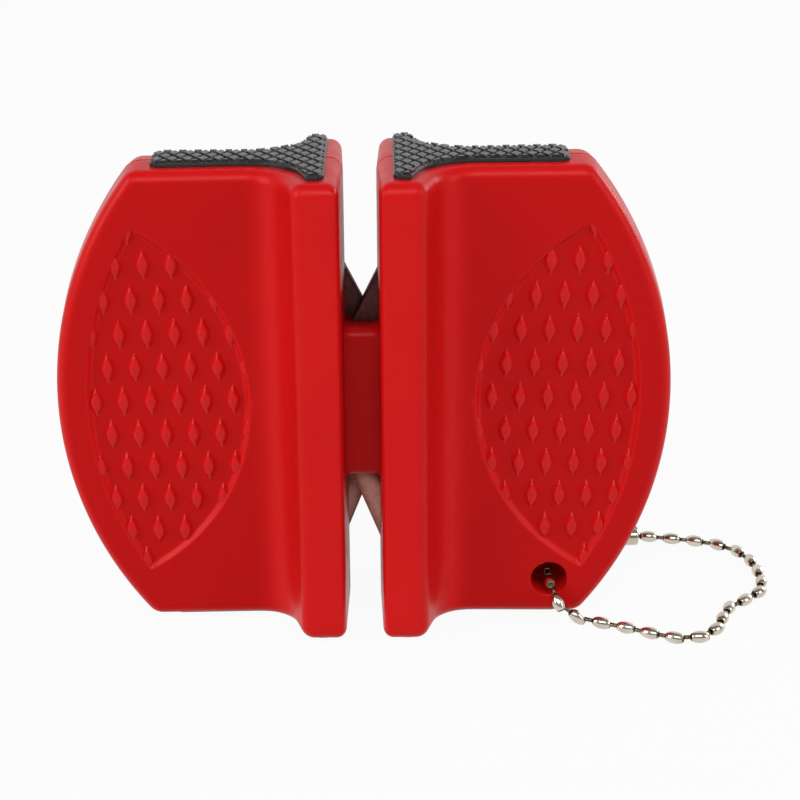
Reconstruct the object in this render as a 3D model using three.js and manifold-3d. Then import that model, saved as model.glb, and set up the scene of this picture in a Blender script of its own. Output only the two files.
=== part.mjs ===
// Pocket knife sharpener with a coarse carbide notch at one end and a fine ceramic notch at the other.
// Two moulded shells meet at mid depth. Millimetres, +Z up, the front faces -Y, the notch runs along Y.
import * as THREE from 'three';
import { mergeVertices, mergeGeometries } from 'three/addons/utils/BufferGeometryUtils.js';
import Module from 'manifold-3d';

// Shell outline, seen from the front
const WIDTH = 65; // across both wings at the seam
const SHELL_HEIGHT = 50.4; // between the two flat ends, without the pads
const SIDE_RADIUS = 39.4; // bow of the outer sides
const END_CORNER = 2.2; // rounding between a flat end and the bowed side
const SLOT_WIDTH = 3.4; // gap between the wings at the seam
const SLOT_CORNER = 1.5; // rounding between the slot and a flat end
const SIDE_DRAFT = 0.25; // how far the side walls lean in from the seam to the face
const EDGE_RADIUS = 1.4; // rounding round each face
const SLOT_EDGE = 0.6; // width of that rounding along the slot
const LEAST_RADIUS = 0.4; // smallest corner of an inset outline

// Shell depth, seen from above
const DEPTH = 21; // across the centre ribs
const WAIST_DEPTH = 4.05; // half depth at the waist beside the rib
const WAIST_X = 11; // where the waist is measured
const TAPER = 1.2; // degrees by which a wing thickens from its waist to its outer side
const FLANK_X = 7.5; // middle of the rib's sloping flank
const FLANK_ANGLE = 73; // degrees between the flank and the face
const CROWN_RADIUS = 1.6; // rounding at the top of the flank
const FOOT_RADIUS = 4.5; // sweep at the foot of the flank

// Moulding
const WALL = 1.8; // wall of the hollow shells
const SEAM = 0.1; // gap between the two shells
const FIT = 0.15; // clearance round whatever sits in a pocket

// Lens shaped grip recess on each wing
const LENS_MARGIN = 3.6; // from the bowed side to the recess
const LENS_INNER_X = 11.9; // nearest point of the recess to the centre
const LENS_INNER_RADIUS = 21.7; // bow of the recess on the rib's side
const RECESS = 0.6; // depth of the recess
const RECESS_SLOPE = 0.4; // how far its wall leans in
const STUD_PITCH_X = 2.9;
const STUD_PITCH_Z = 3.72;
const STUD_RISE = 0.35; // of the middle row above mid height
const STUD_WIDTH = 1.5;
const STUD_LENGTH = 3.3;
const STUD_HEIGHT = 0.5;
const STUD_EDGE = 0.8; // from the recess's outer bow to the outermost stud
const STUD_SINK = 0.2; // root of a stud below the recess floor
const STUD_CUT = 0.5; // how far outside the recess the middle of a stud that its wall cuts may lie

// Bridge between the wings and the solid nest beside it
const WEB_HEIGHT = 16.3;
const WEB_FRONT = 4.6; // half depth of the bridge
const WEB_ROUND = 1; // rounding of its front edges
const NEST_WIDTH = 5.6; // solid stretch behind each slot wall
const NEST_HEIGHT = 39;

// Carbide blades
const CARBIDE_APEX = 10.25; // height of the crossing above mid height
const CARBIDE_TILT = 26.3; // degrees from upright
const CARBIDE_WIDTH = 4;
const CARBIDE_THICK = 1.5;
const CARBIDE_TAIL = 5; // length below the crossing
const CARBIDE_BITE = 0.9; // reach of the cutting edge into the slot wall
const CARBIDE_BEVEL = 0.12;

// Ceramic rods
const CERAMIC_APEX = 12.25; // depth of the crossing below mid height
const CERAMIC_TILT = 21.5;
const CERAMIC_DIAMETER = 2.6;
const CERAMIC_TAIL = 5.5;
const CERAMIC_BITE = 0.8;
const CERAMIC_CHAMFER = 0.25;

// Rubber pads on both ends
const PAD_PROUD = 0.5; // height above the shell's end
const PAD_SUNK = 0.6; // depth of its seat
const PAD_MARGIN = 1.8; // red margin along the faces
const PAD_SLOT_MARGIN = 1.7; // red margin at the slot
const PAD_END_MARGIN = 1.1; // from the pad's end to the outline's rounded corner
const PAD_CORNER = 0.9;
const PAD_BEVEL = 0.2;

// Locating pegs inside the wings
const PEG_DIAMETER = 2.4;
const PEG_REACH = 2.2; // past the seam
const POST_WALL = 1.1;
const PEG_OUTER_X = 26.4; // the peg behind the recess
const PEG_INNER_X = 13.5; // the pegs near the two ends
const PEG_INNER_Z = 19;

// Chain hole and bead chain
const HOLE_INSET = 12.5; // from the wing's widest point
const HOLE_RISE = 4.5; // above the shell's lower end
const HOLE_DIAMETER = 3.9;
const HOLE_MOUTH = 0.2; // rounding of the hole's mouths
const BEAD_DIAMETER = 1.4;
const BEAD_LENGTH = 1.95;
const BEAD_PITCH = 2.75;
const LINK_DIAMETER = 0.45;
const LINK_GAP = 0.2; // play between a link and the next bead
const CLASP_WALL = 0.25;
const CLASP_PLAY = 0.2; // room round the beads in the clasp
const CLASP_MOUTH = 0.8; // diameter of the clasp's end holes
const CLASP_SLOT = 0.6; // width of the slit that the links snap through
const CHAIN_LIFT = 0.05; // play between the lying chain and the standing surface

// The chain lies on the standing surface, from the clasp round the front to the hole and back. Each point gives
// the distance from the hole across and in depth, and the climb as a share of the way up to the hole.
const CHAIN_ROUTE = [
  [9.4, 14.5, 0.106], [12.1, 14.6, 0.1], [14.7, 14.55, 0.05], [17.5, 14.3, 0], [20.2, 13.5, 0],
  [22.5, 12, 0], [24, 9.8, 0], [24.6, 7.1, 0], [24.7, 4.6, 0], [24.5, 2.3, 0],
  [23.6, 0.1, 0], [21.8, -1.5, 0], [19.9, -3.2, 0], [18.8, -5.6, 0], [17.7, -8.1, 0],
  [15.8, -9.8, 0], [13.3, -10.1, 0], [10.5, -8.9, 0], [7.7, -7.4, 0], [5, -6.3, 0.01],
  [3.2, -5.9, 0.08], [1.8, -5.75, 0.27], [0.75, -5.6, 0.55], [0.25, -5, 0.86], [0, -3.5, 1],
  [0, 0, 1], [0, 3.5, 1], [0.15, 5, 0.86], [0.3, 5.8, 0.55], [0.6, 6.8, 0.27],
  [1.2, 8.5, 0.08], [2.2, 10.8, 0.01], [4, 13.2, 0.06], [6.7, 14.35, 0.1],
];

const RED = { color: 0xc01a1e, roughness: 0.3, metalness: 0 };
const RUBBER = { color: 0x2a2a2c, roughness: 0.85, metalness: 0 };
const CARBIDE = { color: 0x3b3634, roughness: 0.45, metalness: 0.8 };
const CERAMIC = { color: 0xd9cfc4, roughness: 0.6, metalness: 0 };
const NICKEL = { color: 0xbdb9b0, roughness: 0.22, metalness: 1 };

const wasm = await Module();
wasm.setup();

const MID_Z = PAD_PROUD + SHELL_HEIGHT / 2;
const SLOT_X = SLOT_WIDTH / 2;
const BOW_X = WIDTH / 2 - SIDE_RADIUS;
const HOLE_X = WIDTH / 2 - HOLE_INSET;
const HOLE_Z = HOLE_RISE - SHELL_HEIGHT / 2;
const radians = THREE.MathUtils.degToRad;

// A closed mesh with its faces turned outwards and its points welded
function welded(geometry) {
  const bare = geometry.clone();
  bare.deleteAttribute('normal');
  bare.deleteAttribute('uv');
  const mesh = mergeVertices(bare, 1e-4);
  const point = mesh.attributes.position;
  const index = mesh.index.array;
  const [a, b, c] = [new THREE.Vector3(), new THREE.Vector3(), new THREE.Vector3()];
  let volume = 0;
  for (let i = 0; i < index.length; i += 3) {
    a.fromBufferAttribute(point, index[i]);
    b.fromBufferAttribute(point, index[i + 1]);
    c.fromBufferAttribute(point, index[i + 2]);
    volume += a.dot(b.cross(c));
  }
  if (volume < 0) {
    for (let i = 0; i < index.length; i += 3) {
      [index[i + 1], index[i + 2]] = [index[i + 2], index[i + 1]];
    }
  }
  return mesh;
}

function solidOf(geometry) {
  const mesh = welded(geometry);
  return new wasm.Manifold(new wasm.Mesh({
    numProp: 3,
    vertProperties: new Float32Array(mesh.attributes.position.array),
    triVerts: new Uint32Array(mesh.index.array),
  }));
}

function geometryOf(solid) {
  const mesh = solid.getMesh();
  const geometry = new THREE.BufferGeometry();
  geometry.setAttribute('position', new THREE.BufferAttribute(new Float32Array(mesh.vertProperties), 3));
  geometry.setIndex(new THREE.BufferAttribute(new Uint32Array(mesh.triVerts), 1));
  return geometry;
}

// Mirror images of a form in the left wing (side -1) and in the rear shell (face 1)
function placed(geometry, side, face) {
  return welded(geometry.clone().scale(side, -face, 1));
}

function arcPoints(x, z, radius, from, to, steps) {
  return Array.from({ length: steps + 1 }, (_, i) => {
    const angle = from + (to - from) * i / steps;
    return [x + radius * Math.cos(angle), z + radius * Math.sin(angle)];
  });
}

// Half depth of the shell over x, moved inwards by an offset: rib, crown, flank, foot and tapered wing
function planProfile(offset) {
  const flank = radians(FLANK_ANGLE);
  const taper = radians(TAPER);
  const rib = DEPTH / 2 - offset;
  const flankLine = FLANK_X * Math.sin(flank) + (DEPTH / 2 + WAIST_DEPTH) / 2 * Math.cos(flank) - offset;
  const wingLine = WAIST_DEPTH * Math.cos(taper) - WAIST_X * Math.sin(taper) - offset;
  const crown = Math.max(CROWN_RADIUS - offset, LEAST_RADIUS);
  const foot = FOOT_RADIUS + offset;
  const crownY = rib - crown;
  const crownX = (flankLine - crown - crownY * Math.cos(flank)) / Math.sin(flank);
  const turn = Math.sin(flank + taper);
  const footX = ((flankLine + foot) * Math.cos(taper) - (wingLine + foot) * Math.cos(flank)) / turn;
  const footY = (wingLine + foot + footX * Math.sin(taper)) / Math.cos(taper);
  const crownEnd = crownX + crown * Math.sin(flank);
  const footStart = footX - foot * Math.sin(flank);
  const footEnd = footX + foot * Math.sin(taper);
  const depthAt = (x) => {
    if (x <= crownX) return rib;
    if (x <= crownEnd) return crownY + Math.sqrt(crown ** 2 - (x - crownX) ** 2);
    if (x <= footStart) return (flankLine - x * Math.sin(flank)) / Math.cos(flank);
    if (x <= footEnd) return footY - Math.sqrt(foot ** 2 - (x - footX) ** 2);
    return (wingLine + x * Math.sin(taper)) / Math.cos(taper);
  };
  const breaks = [0, 1, 2, 3].map((i) => crownX + crown * Math.sin(flank * i / 3));
  for (let i = 0; i <= 5; i += 1) {
    breaks.push(footX - foot * Math.sin(flank - (flank + taper) * i / 5));
  }
  return { depthAt, breaks };
}

// Upper half of a wing's outline, moved inwards: slot corner, flat end, outer corner and bow
function wingStations(inset, slotInset, plan) {
  const endZ = SHELL_HEIGHT / 2 - inset;
  const slotCorner = Math.max(SLOT_CORNER - inset, LEAST_RADIUS);
  const endCorner = Math.max(END_CORNER - inset, LEAST_RADIUS);
  const bow = SIDE_RADIUS - inset;
  const cornerZ = endZ - endCorner;
  const cornerX = BOW_X + Math.sqrt((bow - endCorner) ** 2 - cornerZ ** 2);
  const bowAngle = Math.atan2(cornerZ, cornerX - BOW_X);
  return [
    ...arcPoints(SLOT_X + slotInset + slotCorner, endZ - slotCorner, slotCorner, Math.PI, Math.PI / 2, 3),
    ...plan.breaks.map((x) => [x, endZ]),
    ...arcPoints(cornerX, cornerZ, endCorner, Math.PI / 2, bowAngle, 3),
    ...arcPoints(BOW_X, 0, bow, bowAngle, 0, 7).slice(1),
  ];
}

// One ring of a wing, at a level or on the face that the plan gives
function wingRing(inset, slotInset, offset, level) {
  const plan = planProfile(offset);
  return wingStations(inset, slotInset, plan).map(([x, z]) => [x, level ?? -plan.depthAt(x), z]);
}

// Rings that are alike above and below mid height, joined in order and closed by strips at both ends
function loft(rings) {
  const half = rings[0].length;
  const count = 2 * half - 1;
  const points = [];
  rings.forEach((ring) => {
    ring.forEach((p) => points.push(...p));
    ring.slice(0, -1).reverse().forEach(([x, y, z]) => points.push(x, y, -z));
  });
  const faces = [];
  for (let k = 0; k + 1 < rings.length; k += 1) {
    for (let i = 0; i < count; i += 1) {
      const next = (i + 1) % count;
      faces.push(k * count + i, (k + 1) * count + i, (k + 1) * count + next);
      faces.push(k * count + i, (k + 1) * count + next, k * count + next);
    }
  }
  [0, (rings.length - 1) * count].forEach((start, end) => {
    for (let i = 0; i + 1 < half; i += 1) {
      const [a, b] = [start + i, start + i + 1];
      const [c, d] = [start + count - 1 - i, start + count - 2 - i];
      const strip = i + 2 < half ? [a, c, d, a, d, b] : [a, c, b];
      faces.push(...(end ? strip : strip.reverse()));
    }
  });
  const geometry = new THREE.BufferGeometry();
  geometry.setAttribute('position', new THREE.Float32BufferAttribute(points, 3));
  geometry.setIndex(faces);
  return welded(geometry);
}

function wingBody() {
  const rings = [wingRing(0, 0, 0, -SEAM / 2)];
  for (let k = 0; k <= 4; k += 1) {
    const turn = Math.PI / 2 * k / 4;
    const inset = SIDE_DRAFT + EDGE_RADIUS * (1 - Math.cos(turn));
    const slotInset = SIDE_DRAFT + SLOT_EDGE * (1 - Math.cos(turn));
    rings.push(wingRing(inset, slotInset, EDGE_RADIUS * (1 - Math.sin(turn))));
  }
  return loft(rings);
}

function wingCavity() {
  const deep = WALL + SIDE_DRAFT;
  return loft([wingRing(WALL, WALL, WALL, SEAM), wingRing(deep, deep, WALL)]);
}

// Upper half of the lens outline as outer and inner bow from the tip to mid height
function lensTip(offset) {
  const outer = SIDE_RADIUS - LENS_MARGIN - offset;
  const inner = LENS_INNER_RADIUS - offset;
  const innerX = LENS_INNER_X + LENS_INNER_RADIUS;
  const span = innerX - BOW_X;
  const x = BOW_X + (outer ** 2 - inner ** 2 + span ** 2) / (2 * span);
  return { x, z: Math.sqrt(outer ** 2 - (x - BOW_X) ** 2), outer, inner, innerX };
}

function lensRing(offset, sink) {
  const tip = lensTip(offset);
  const plan = planProfile(sink);
  const outerTurn = Math.atan2(tip.z, tip.x - BOW_X);
  const innerTurn = Math.atan2(tip.z, tip.x - tip.innerX);
  const outline = [
    ...arcPoints(tip.innerX, 0, tip.inner, Math.PI, innerTurn, 9),
    ...arcPoints(BOW_X, 0, tip.outer, outerTurn, 0, 9).slice(1),
  ];
  return outline.map(([x, z]) => [x, -plan.depthAt(x), z]);
}

// The recess cutter has a point at mid height on both bows, so its lower half repeats only what lies between
function lensCutter() {
  const rise = EDGE_RADIUS;
  const rings = [lensRing(RECESS_SLOPE, RECESS), lensRing(-RECESS_SLOPE * rise / RECESS, -rise)];
  const half = rings[0].length;
  const count = 2 * half - 2;
  const points = [];
  rings.forEach((ring) => {
    ring.forEach((p) => points.push(...p));
    ring.slice(1, -1).reverse().forEach(([x, y, z]) => points.push(x, y, -z));
  });
  const faces = [];
  for (let i = 0; i < count; i += 1) {
    const next = (i + 1) % count;
    faces.push(i, count + i, count + next, i, count + next, next);
  }
  [0, count].forEach((start, end) => {
    for (let i = 0; i + 1 < half; i += 1) {
      const [a, b] = [start + i, start + i + 1];
      const [c, d] = [start + (count - i) % count, start + count - i - 1];
      const strip = [];
      if (i > 0) strip.push(a, c, d);
      if (i === 0) strip.push(a, d, b);
      if (i > 0 && i + 2 < half) strip.push(a, d, b);
      faces.push(...(end ? strip : strip.reverse()));
    }
  });
  const geometry = new THREE.BufferGeometry();
  geometry.setAttribute('position', new THREE.Float32BufferAttribute(points, 3));
  geometry.setIndex(faces);
  return welded(geometry);
}

// Staggered diamond studs, cut by the recess's wall where they meet it
function studField() {
  const floor = planProfile(RECESS);
  const edge = lensTip(-STUD_CUT);
  const firstX = BOW_X + SIDE_RADIUS - LENS_MARGIN - STUD_EDGE;
  const rows = Math.floor(edge.z / STUD_PITCH_Z);
  const columns = Math.ceil((firstX - LENS_INNER_X) / STUD_PITCH_X);
  const studs = [];
  for (let row = -rows - 1; row <= rows; row += 1) {
    const shift = row % 2 === 0 ? 0 : STUD_PITCH_X / 2;
    for (let column = 0; column <= columns; column += 1) {
      const x = firstX - shift - column * STUD_PITCH_X;
      const z = STUD_RISE + row * STUD_PITCH_Z;
      const inside = Math.hypot(x - BOW_X, z) < edge.outer && Math.hypot(x - edge.innerX, z) < edge.inner;
      if (inside) {
        const stud = new THREE.ConeGeometry(1, STUD_HEIGHT + STUD_SINK, 4, 1);
        stud.scale(STUD_WIDTH / 2, 1, STUD_LENGTH / 2);
        stud.rotateX(Math.PI);
        stud.translate(x, -floor.depthAt(x) - (STUD_HEIGHT - STUD_SINK) / 2, z);
        studs.push(welded(stud));
      }
    }
  }
  return mergeGeometries(studs);
}

// A cylinder along Y from the level near the seam to the level near the face
function bar(radius, x, z, near, far, sides = 10) {
  const cylinder = new THREE.CylinderGeometry(radius, radius, far - near, sides);
  return cylinder.translate(x, -(near + far) / 2, z);
}

function holeCutter() {
  const radius = HOLE_DIAMETER / 2;
  const face = planProfile(0).depthAt(HOLE_X);
  const mouth = arcPoints(radius + HOLE_MOUTH, face - HOLE_MOUTH, HOLE_MOUTH, Math.PI, Math.PI / 2, 4);
  const profile = [
    [0, -SEAM], [radius, -SEAM], ...mouth, [radius + HOLE_MOUTH, face + EDGE_RADIUS], [0, face + EDGE_RADIUS],
  ];
  const points = profile.map(([r, y]) => new THREE.Vector2(r, -y));
  return new THREE.LatheGeometry(points, 20).translate(HOLE_X, 0, HOLE_Z);
}

// The bridge is drawn in depth and height and runs across the slot into both walls
function webBlock() {
  const half = WEB_HEIGHT / 2;
  const shape = new THREE.Shape();
  shape.moveTo(SEAM / 2, -half);
  shape.lineTo(WEB_FRONT - WEB_ROUND, -half);
  shape.absarc(WEB_FRONT - WEB_ROUND, WEB_ROUND - half, WEB_ROUND, -Math.PI / 2, 0, false);
  shape.absarc(WEB_FRONT - WEB_ROUND, half - WEB_ROUND, WEB_ROUND, 0, Math.PI / 2, false);
  shape.lineTo(SEAM / 2, half);
  const reach = SLOT_X + WALL / 2;
  const block = new THREE.ExtrudeGeometry(shape, { depth: 2 * reach, bevelEnabled: false, curveSegments: 4 });
  block.translate(0, 0, -reach);
  const frame = new THREE.Matrix4().makeBasis(
    new THREE.Vector3(0, -1, 0), new THREE.Vector3(0, 0, 1), new THREE.Vector3(-1, 0, 0),
  );
  return block.applyMatrix4(frame);
}

function nestBlock() {
  const block = new THREE.BoxGeometry(NEST_WIDTH, WEB_FRONT - SEAM / 2, NEST_HEIGHT);
  return block.translate(SLOT_X + WALL / 2 + NEST_WIDTH / 2, -(WEB_FRONT + SEAM / 2) / 2, 0);
}

// The front blade leans to the right. Its cutting edge passes through the crossing point.
function carbideBlade(clearance) {
  const tilt = radians(CARBIDE_TILT);
  const head = (SLOT_X + CARBIDE_BITE) / Math.sin(tilt);
  const shape = new THREE.Shape([
    new THREE.Vector2(-clearance, -CARBIDE_TAIL - clearance),
    new THREE.Vector2(CARBIDE_WIDTH + clearance, -CARBIDE_TAIL - clearance),
    new THREE.Vector2(CARBIDE_WIDTH + clearance, head + clearance),
    new THREE.Vector2(-clearance, head + clearance),
  ]);
  const bevel = clearance ? 0 : CARBIDE_BEVEL;
  const blade = new THREE.ExtrudeGeometry(shape, {
    depth: CARBIDE_THICK + 2 * clearance - 2 * bevel,
    bevelEnabled: bevel > 0,
    bevelThickness: bevel,
    bevelSize: bevel,
    bevelOffset: -bevel,
    bevelSegments: 1,
  });
  blade.translate(0, 0, bevel - clearance);
  blade.rotateZ(-tilt);
  blade.rotateX(Math.PI / 2);
  return blade.translate(0, -SEAM, CARBIDE_APEX);
}

// The front rod leans the other way below the bridge. Its lower left side passes through the crossing point.
function ceramicRod(clearance) {
  const tilt = radians(CERAMIC_TILT);
  const radius = CERAMIC_DIAMETER / 2 + clearance;
  const head = (SLOT_X + CERAMIC_BITE) / Math.sin(tilt);
  const low = -head - clearance;
  const high = CERAMIC_TAIL + clearance;
  const cut = CERAMIC_CHAMFER;
  const profile = [
    [0, low], [radius - cut, low], [radius, low + cut], [radius, high - cut], [radius - cut, high], [0, high],
  ];
  const rod = revolved(profile, 16);
  const shapes = [rod];
  if (clearance) {
    const mouth = new THREE.BoxGeometry(2 * radius, high - low, radius);
    shapes.push(mouth.translate(0, (high + low) / 2, -radius / 2));
  }
  shapes.forEach((form) => {
    form.translate(CERAMIC_DIAMETER / 2, 0, CERAMIC_DIAMETER / 2);
    form.rotateZ(tilt);
    form.rotateX(Math.PI / 2);
    form.translate(0, -SEAM, -CERAMIC_APEX);
  });
  return shapes;
}

// Plan outline of a pad, moved outwards by a clearance
function padShape(clearance) {
  const plan = planProfile(PAD_MARGIN - clearance);
  const cornerZ = SHELL_HEIGHT / 2 - END_CORNER;
  const cornerX = BOW_X + Math.sqrt((SIDE_RADIUS - END_CORNER) ** 2 - cornerZ ** 2);
  const near = SLOT_X + PAD_SLOT_MARGIN - clearance;
  const far = cornerX - PAD_END_MARGIN + clearance;
  const round = PAD_CORNER;
  const side = [
    ...arcPoints(near + round, plan.depthAt(near) - round, round, Math.PI, Math.PI / 2, 3),
    ...plan.breaks.slice(1).map((x) => [x, plan.depthAt(x)]),
    ...arcPoints(far - round, plan.depthAt(far) - round, round, Math.PI / 2, 0, 3),
  ];
  const mirror = side.map(([x, y]) => [x, -y]).reverse();
  return new THREE.Shape([...side, ...mirror].map(([x, y]) => new THREE.Vector2(x, y)));
}

function endPad(side, end) {
  const pad = new THREE.ExtrudeGeometry(padShape(0), {
    depth: PAD_SUNK + PAD_PROUD - 2 * PAD_BEVEL,
    bevelEnabled: true,
    bevelThickness: PAD_BEVEL,
    bevelSize: PAD_BEVEL,
    bevelOffset: -PAD_BEVEL,
    bevelSegments: 1,
  });
  pad.translate(0, 0, SHELL_HEIGHT / 2 - PAD_SUNK + PAD_BEVEL);
  return welded(pad.scale(side, 1, end));
}

function padSeat(side, end) {
  const seat = new THREE.ExtrudeGeometry(padShape(FIT), { depth: PAD_SUNK + EDGE_RADIUS, bevelEnabled: false });
  seat.translate(0, 0, SHELL_HEIGHT / 2 - PAD_SUNK - FIT);
  return welded(seat.scale(side, 1, end));
}

// Face is -1 for the front shell and 1 for the rear one, which carries the pegs
function shell(face) {
  const front = face < 0;
  const plan = planProfile(0);
  const pegs = [[PEG_OUTER_X, 0], [PEG_INNER_X, PEG_INNER_Z], [PEG_INNER_X, -PEG_INNER_Z]];
  const pegRadius = PEG_DIAMETER / 2;
  const postRadius = pegRadius + FIT + POST_WALL;
  const holeFace = plan.depthAt(HOLE_X);
  let solid = solidOf(placed(webBlock(), 1, face));
  [-1, 1].forEach((side) => {
    let wing = solidOf(placed(wingBody(), side, face));
    wing = wing.subtract(solidOf(placed(wingCavity(), side, face)));
    wing = wing.add(solidOf(placed(nestBlock(), side, face)));
    pegs.forEach(([x, z]) => {
      const root = plan.depthAt(x) - WALL / 2;
      wing = wing.add(solidOf(placed(bar(postRadius, x, z, SEAM / 2, root), side, face)));
    });
    solid = solid.add(wing);
  });
  const boss = bar(HOLE_DIAMETER / 2 + WALL, HOLE_X, HOLE_Z, SEAM / 2, holeFace - WALL / 2, 20);
  solid = solid.add(solidOf(placed(boss, 1, face)));
  [-1, 1].forEach((side) => {
    solid = solid.subtract(solidOf(placed(lensCutter(), side, face)));
    solid = solid.add(solidOf(placed(studField(), side, face)));
    [-1, 1].forEach((end) => {
      solid = solid.subtract(solidOf(padSeat(side, end)));
    });
    pegs.forEach(([x, z]) => {
      if (front) {
        const socket = bar(pegRadius + FIT, x, z, -SEAM, SEAM / 2 + PEG_REACH + FIT);
        solid = solid.subtract(solidOf(placed(socket, side, face)));
      } else {
        const peg = bar(pegRadius, x, z, -SEAM / 2 - PEG_REACH, WALL);
        solid = solid.add(solidOf(placed(peg, side, face)));
      }
    });
  });
  solid = solid.subtract(solidOf(placed(holeCutter(), 1, face)));
  const pockets = [carbideBlade(FIT), ...ceramicRod(FIT)];
  pockets.forEach((pocket) => {
    solid = solid.subtract(solidOf(placed(pocket, -face, face)));
  });
  return geometryOf(solid);
}

function revolved(profile, sides) {
  return new THREE.LatheGeometry(profile.map(([r, y]) => new THREE.Vector2(r, y)), sides);
}

// A bead with the stub of wire that links it to the next one
function bead(pitch, linked) {
  const link = LINK_DIAMETER / 2;
  const outline = arcPoints(0, 0, 1, -Math.PI / 2, Math.PI / 2, 5);
  const profile = outline.map(([r, y]) => [r * BEAD_DIAMETER / 2, y * BEAD_LENGTH / 2]);
  profile[0][0] = 0;
  if (linked) {
    profile.pop();
    const end = pitch - BEAD_LENGTH / 2 - LINK_GAP;
    profile.push([link, BEAD_LENGTH / 2 * 0.95], [link, end], [0, end]);
  } else {
    profile[profile.length - 1][0] = 0;
  }
  return revolved(profile, 8);
}

// A sleeve that closes round the two end beads, slit along one side
function clasp(pitch) {
  const inner = BEAD_DIAMETER / 2 + CLASP_PLAY;
  const outer = inner + CLASP_WALL;
  const mouth = CLASP_MOUTH / 2;
  const room = (pitch + BEAD_LENGTH) / 2 + CLASP_PLAY;
  const profile = [
    [mouth, -room - CLASP_WALL], [inner, -room - CLASP_WALL], [outer, -room], [outer, room],
    [inner, room + CLASP_WALL], [mouth, room + CLASP_WALL], [mouth, room], [inner, room - CLASP_WALL],
    [inner, CLASP_WALL - room], [mouth, -room], [mouth, -room - CLASP_WALL],
  ];
  const sleeve = solidOf(revolved(profile, 16));
  const slit = new THREE.BoxGeometry(CLASP_SLOT, 2 * room, 2 * outer).translate(0, 0, outer);
  return geometryOf(sleeve.subtract(solidOf(slit)));
}

const object = new THREE.Group();
object.name = 'pocket_knife_sharpener';

function addPiece(name, geometry, finish, lift = 0) {
  const body = geometry.clone().translate(0, 0, lift);
  body.computeVertexNormals();
  const mesh = new THREE.Mesh(body, new THREE.MeshStandardMaterial(finish));
  mesh.name = name;
  object.add(mesh);
}

addPiece('front_shell', shell(-1), RED, MID_Z);
addPiece('rear_shell', shell(1), RED, MID_Z);
[['left', -1], ['right', 1]].forEach(([word, side]) => {
  addPiece(`${word}_carbide_blade`, placed(carbideBlade(0), side, -side), CARBIDE, MID_Z);
  addPiece(`${word}_ceramic_rod`, placed(ceramicRod(0)[0], side, -side), CERAMIC, MID_Z);
  addPiece(`${word}_top_pad`, endPad(side, 1), RUBBER, MID_Z);
  addPiece(`${word}_bottom_pad`, endPad(side, -1), RUBBER, MID_Z);
});

// The beads follow the route at an even pitch, half a pitch either side of the clasp's middle
const lying = BEAD_DIAMETER / 2 + CHAIN_LIFT;
const routePoints = CHAIN_ROUTE.map(([across, depth, climb]) => (
  new THREE.Vector3(HOLE_X + across, depth, lying + climb * (MID_Z + HOLE_Z - lying))
));
const route = new THREE.CatmullRomCurve3(routePoints, true, 'centripetal');
route.arcLengthDivisions = 800;
const beadCount = Math.round(route.getLength() / BEAD_PITCH);
const pitch = route.getLength() / beadCount;
const along = new THREE.Vector3(0, 1, 0);
for (let i = 0; i < beadCount; i += 1) {
  const here = route.getPointAt((i + 0.5) / beadCount);
  const next = route.getPointAt(((i + 1.5) / beadCount) % 1);
  const linked = i + 1 < beadCount;
  const aim = linked ? next.clone().sub(here) : route.getTangentAt(0);
  const turn = new THREE.Quaternion().setFromUnitVectors(along, aim.clone().normalize());
  const form = bead(linked ? aim.length() : pitch, linked).applyQuaternion(turn).translate(...here);
  addPiece(`chain_bead_${String(i + 1).padStart(2, '0')}`, welded(form), NICKEL);
}
const claspAim = route.getPointAt(0.5 / beadCount).sub(route.getPointAt(1 - 0.5 / beadCount)).normalize();
const claspTurn = new THREE.Quaternion().setFromUnitVectors(along, claspAim);
const claspForm = clasp(pitch).applyQuaternion(claspTurn).translate(...routePoints[0]);
addPiece('chain_clasp', welded(claspForm), NICKEL);

export default object;
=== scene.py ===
import bpy
import bmesh
import math
from mathutils import Matrix, Quaternion, Vector


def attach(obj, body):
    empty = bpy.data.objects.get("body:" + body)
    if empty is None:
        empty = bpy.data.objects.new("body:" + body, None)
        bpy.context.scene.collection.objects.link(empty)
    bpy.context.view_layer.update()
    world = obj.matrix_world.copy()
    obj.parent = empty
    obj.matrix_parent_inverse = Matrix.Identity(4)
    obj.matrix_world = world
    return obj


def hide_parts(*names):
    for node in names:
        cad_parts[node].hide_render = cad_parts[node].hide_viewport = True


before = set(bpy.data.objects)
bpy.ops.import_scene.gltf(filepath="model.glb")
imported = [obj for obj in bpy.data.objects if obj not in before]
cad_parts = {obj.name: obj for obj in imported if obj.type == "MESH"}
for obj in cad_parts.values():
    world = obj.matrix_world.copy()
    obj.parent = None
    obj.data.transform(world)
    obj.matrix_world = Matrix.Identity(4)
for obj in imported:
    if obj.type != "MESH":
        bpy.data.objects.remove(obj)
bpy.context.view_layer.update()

MM = 0.001
QUARTER = math.pi / 2

# Sizes in millimetres: the shells' outline and edges
WIDTH = 65.0
SHELL_HEIGHT = 50.4
SIDE_RADIUS = 39.4
END_CORNER = 2.2
SLOT_WIDTH = 3.4
SLOT_CORNER = 1.5
SIDE_DRAFT = 0.25
EDGE_RADIUS = 1.4
SLOT_EDGE = 0.6
SEAM = 0.1

# The shells' section from rib to wing
DEPTH = 21.0
WAIST_DEPTH = 4.05
WAIST_X = 11.0
TAPER = math.radians(1.2)
FLANK_X = 7.5
FLANK_ANGLE = math.radians(73)
CROWN_RADIUS = 1.6
FOOT_RADIUS = 4.5

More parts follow.
